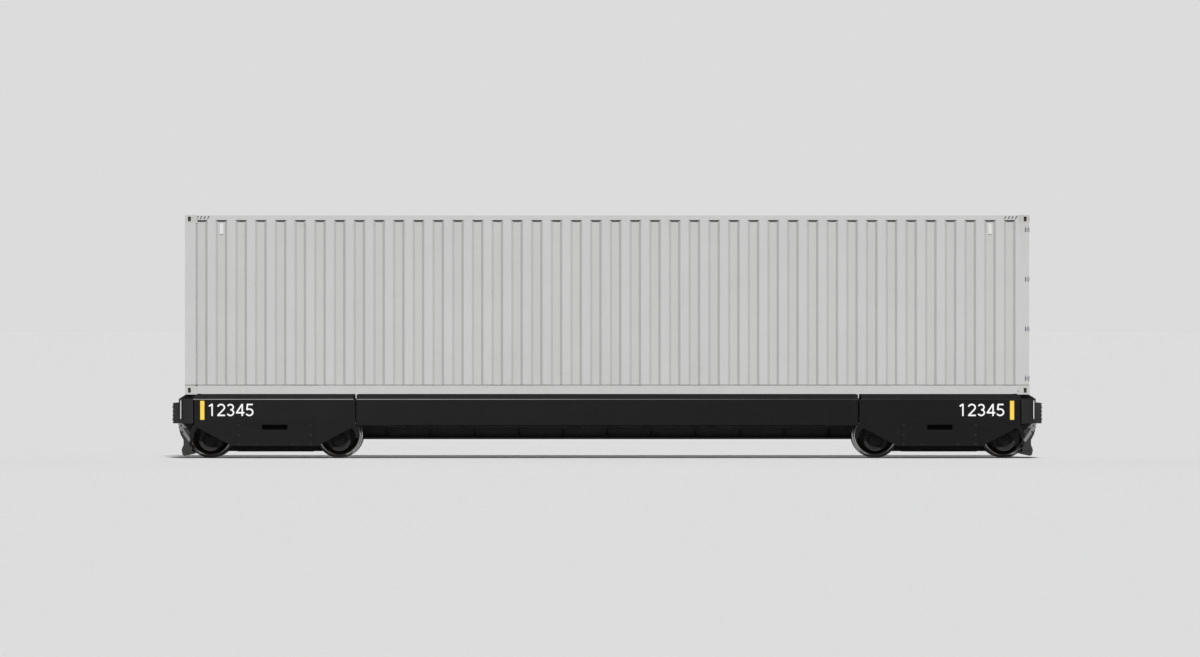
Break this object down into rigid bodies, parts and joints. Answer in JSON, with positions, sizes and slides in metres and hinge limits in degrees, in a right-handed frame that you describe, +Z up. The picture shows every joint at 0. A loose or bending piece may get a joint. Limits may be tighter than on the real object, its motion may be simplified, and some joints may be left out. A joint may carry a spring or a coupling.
{
  "type": "electric rail flatcar with container",
  "caption": "A low black battery-electric rail flatcar on two powered bogies, carrying a white 40 ft container with its doors at one end",
  "frame": {"origin": "on the ground under the middle of the car, at the centre of the bounding box's footprint", "axes": "+X points to the end with the container's doors (the rear), +Y to the right of someone facing the front, +Z up"},
  "size_m": [12.58, 2.6, 3.5108],
  "materials": {
    "container_paint": "off-white container paint, satin, lightly scuffed",
    "casting_paint": "off-white paint over cast steel, chipped",
    "galvanised": "galvanised steel, dull",
    "floor_timber": "oiled plywood floor",
    "body_paint": "black satin paint",
    "chassis_paint": "black matte chassis paint",
    "bumper_rubber": "black moulded rubber",
    "lamp_lens": "white diffusing lens",
    "bracket_grey": "light grey paint",
    "bright_steel": "worn bare steel",
    "motor_metal": "dark grey painted casting",
    "axle_steel": "oiled forged steel",
    "wheel_steel": "machined and rail-polished steel"
  },
  "bodies": {
    "car": {"access_panels": "body_paint", "battery_packs": "chassis_paint", "bottom_side_rails": "container_paint", "centre_sill": "chassis_paint", "container_floor": "floor_timber", "container_locks": "bright_steel", "container_roof": "container_paint", "corner_castings": "casting_paint", "edge_strips": "body_paint", "front_bumper": "bumper_rubber", "front_end_deck": "body_paint", "front_end_frame": "container_paint", "front_end_wall": "container_paint", "front_left_skirt": "body_paint", "front_nose": "body_paint", "front_pilot": "chassis_paint", "front_right_skirt": "body_paint", "left_side_wall": "container_paint", "light_bars": "lamp_lens", "middle_deck": "body_paint", "pilot_stays": "bracket_grey", "rear_bumper": "bumper_rubber", "rear_door_frame": "container_paint", "rear_end_deck": "body_paint", "rear_left_skirt": "body_paint", "rear_nose": "body_paint", "rear_pilot": "chassis_paint", "rear_right_skirt": "body_paint", "right_side_wall": "container_paint", "top_side_rails": "container_paint", "ventilators": "container_paint"},
    "front_bogie": {"front_bogie_frame": "chassis_paint", "front_equipment_case": "chassis_paint", "front_wheel_motors": "motor_metal"},
    "front_outer_wheelset": {"front_outer_axle": "axle_steel", "front_outer_wheels": "wheel_steel"},
    "front_inner_wheelset": {"front_inner_axle": "axle_steel", "front_inner_wheels": "wheel_steel"},
    "rear_bogie": {"rear_bogie_frame": "chassis_paint", "rear_equipment_case": "chassis_paint", "rear_wheel_motors": "motor_metal"},
    "rear_outer_wheelset": {"rear_outer_axle": "axle_steel", "rear_outer_wheels": "wheel_steel"},
    "rear_inner_wheelset": {"rear_inner_axle": "axle_steel", "rear_inner_wheels": "wheel_steel"},
    "left_cargo_door": {"left_door": "container_paint", "left_lock_rods": "galvanised", "left_door_hinges": "galvanised"},
    "right_cargo_door": {"right_door": "container_paint", "right_lock_rods": "galvanised", "right_door_hinges": "galvanised"}
  },
  "joints": [
    {"name": "front_bogie_swivel", "type": "hinge", "parent": "car", "child": "front_bogie", "pos_m": [-4.8, 0, 0.65], "axis": [0, 0, 1], "range_deg": [-5, 5]},
    {"name": "front_outer_roll", "type": "hinge", "parent": "front_bogie", "child": "front_outer_wheelset", "pos_m": [-5.73, 0, 0.338], "axis": [0, 1, 0], "continuous": true},
    {"name": "front_inner_roll", "type": "hinge", "parent": "front_bogie", "child": "front_inner_wheelset", "pos_m": [-3.87, 0, 0.338], "axis": [0, 1, 0], "continuous": true},
    {"name": "rear_bogie_swivel", "type": "hinge", "parent": "car", "child": "rear_bogie", "pos_m": [4.8, 0, 0.65], "axis": [0, 0, 1], "range_deg": [-5, 5]},
    {"name": "rear_outer_roll", "type": "hinge", "parent": "rear_bogie", "child": "rear_outer_wheelset", "pos_m": [5.73, 0, 0.338], "axis": [0, 1, 0], "continuous": true},
    {"name": "rear_inner_roll", "type": "hinge", "parent": "rear_bogie", "child": "rear_inner_wheelset", "pos_m": [3.87, 0, 0.338], "axis": [0, 1, 0], "continuous": true},
    {"name": "left_door_hinge", "type": "hinge", "parent": "car", "child": "left_cargo_door", "pos_m": [6.078, -1.196, 2.2], "axis": [0, 0, -1], "range_deg": [0, 270]},
    {"name": "right_door_hinge", "type": "hinge", "parent": "car", "child": "right_cargo_door", "pos_m": [6.078, 1.196, 2.2], "axis": [0, 0, 1], "range_deg": [0, 270]}
  ]
}
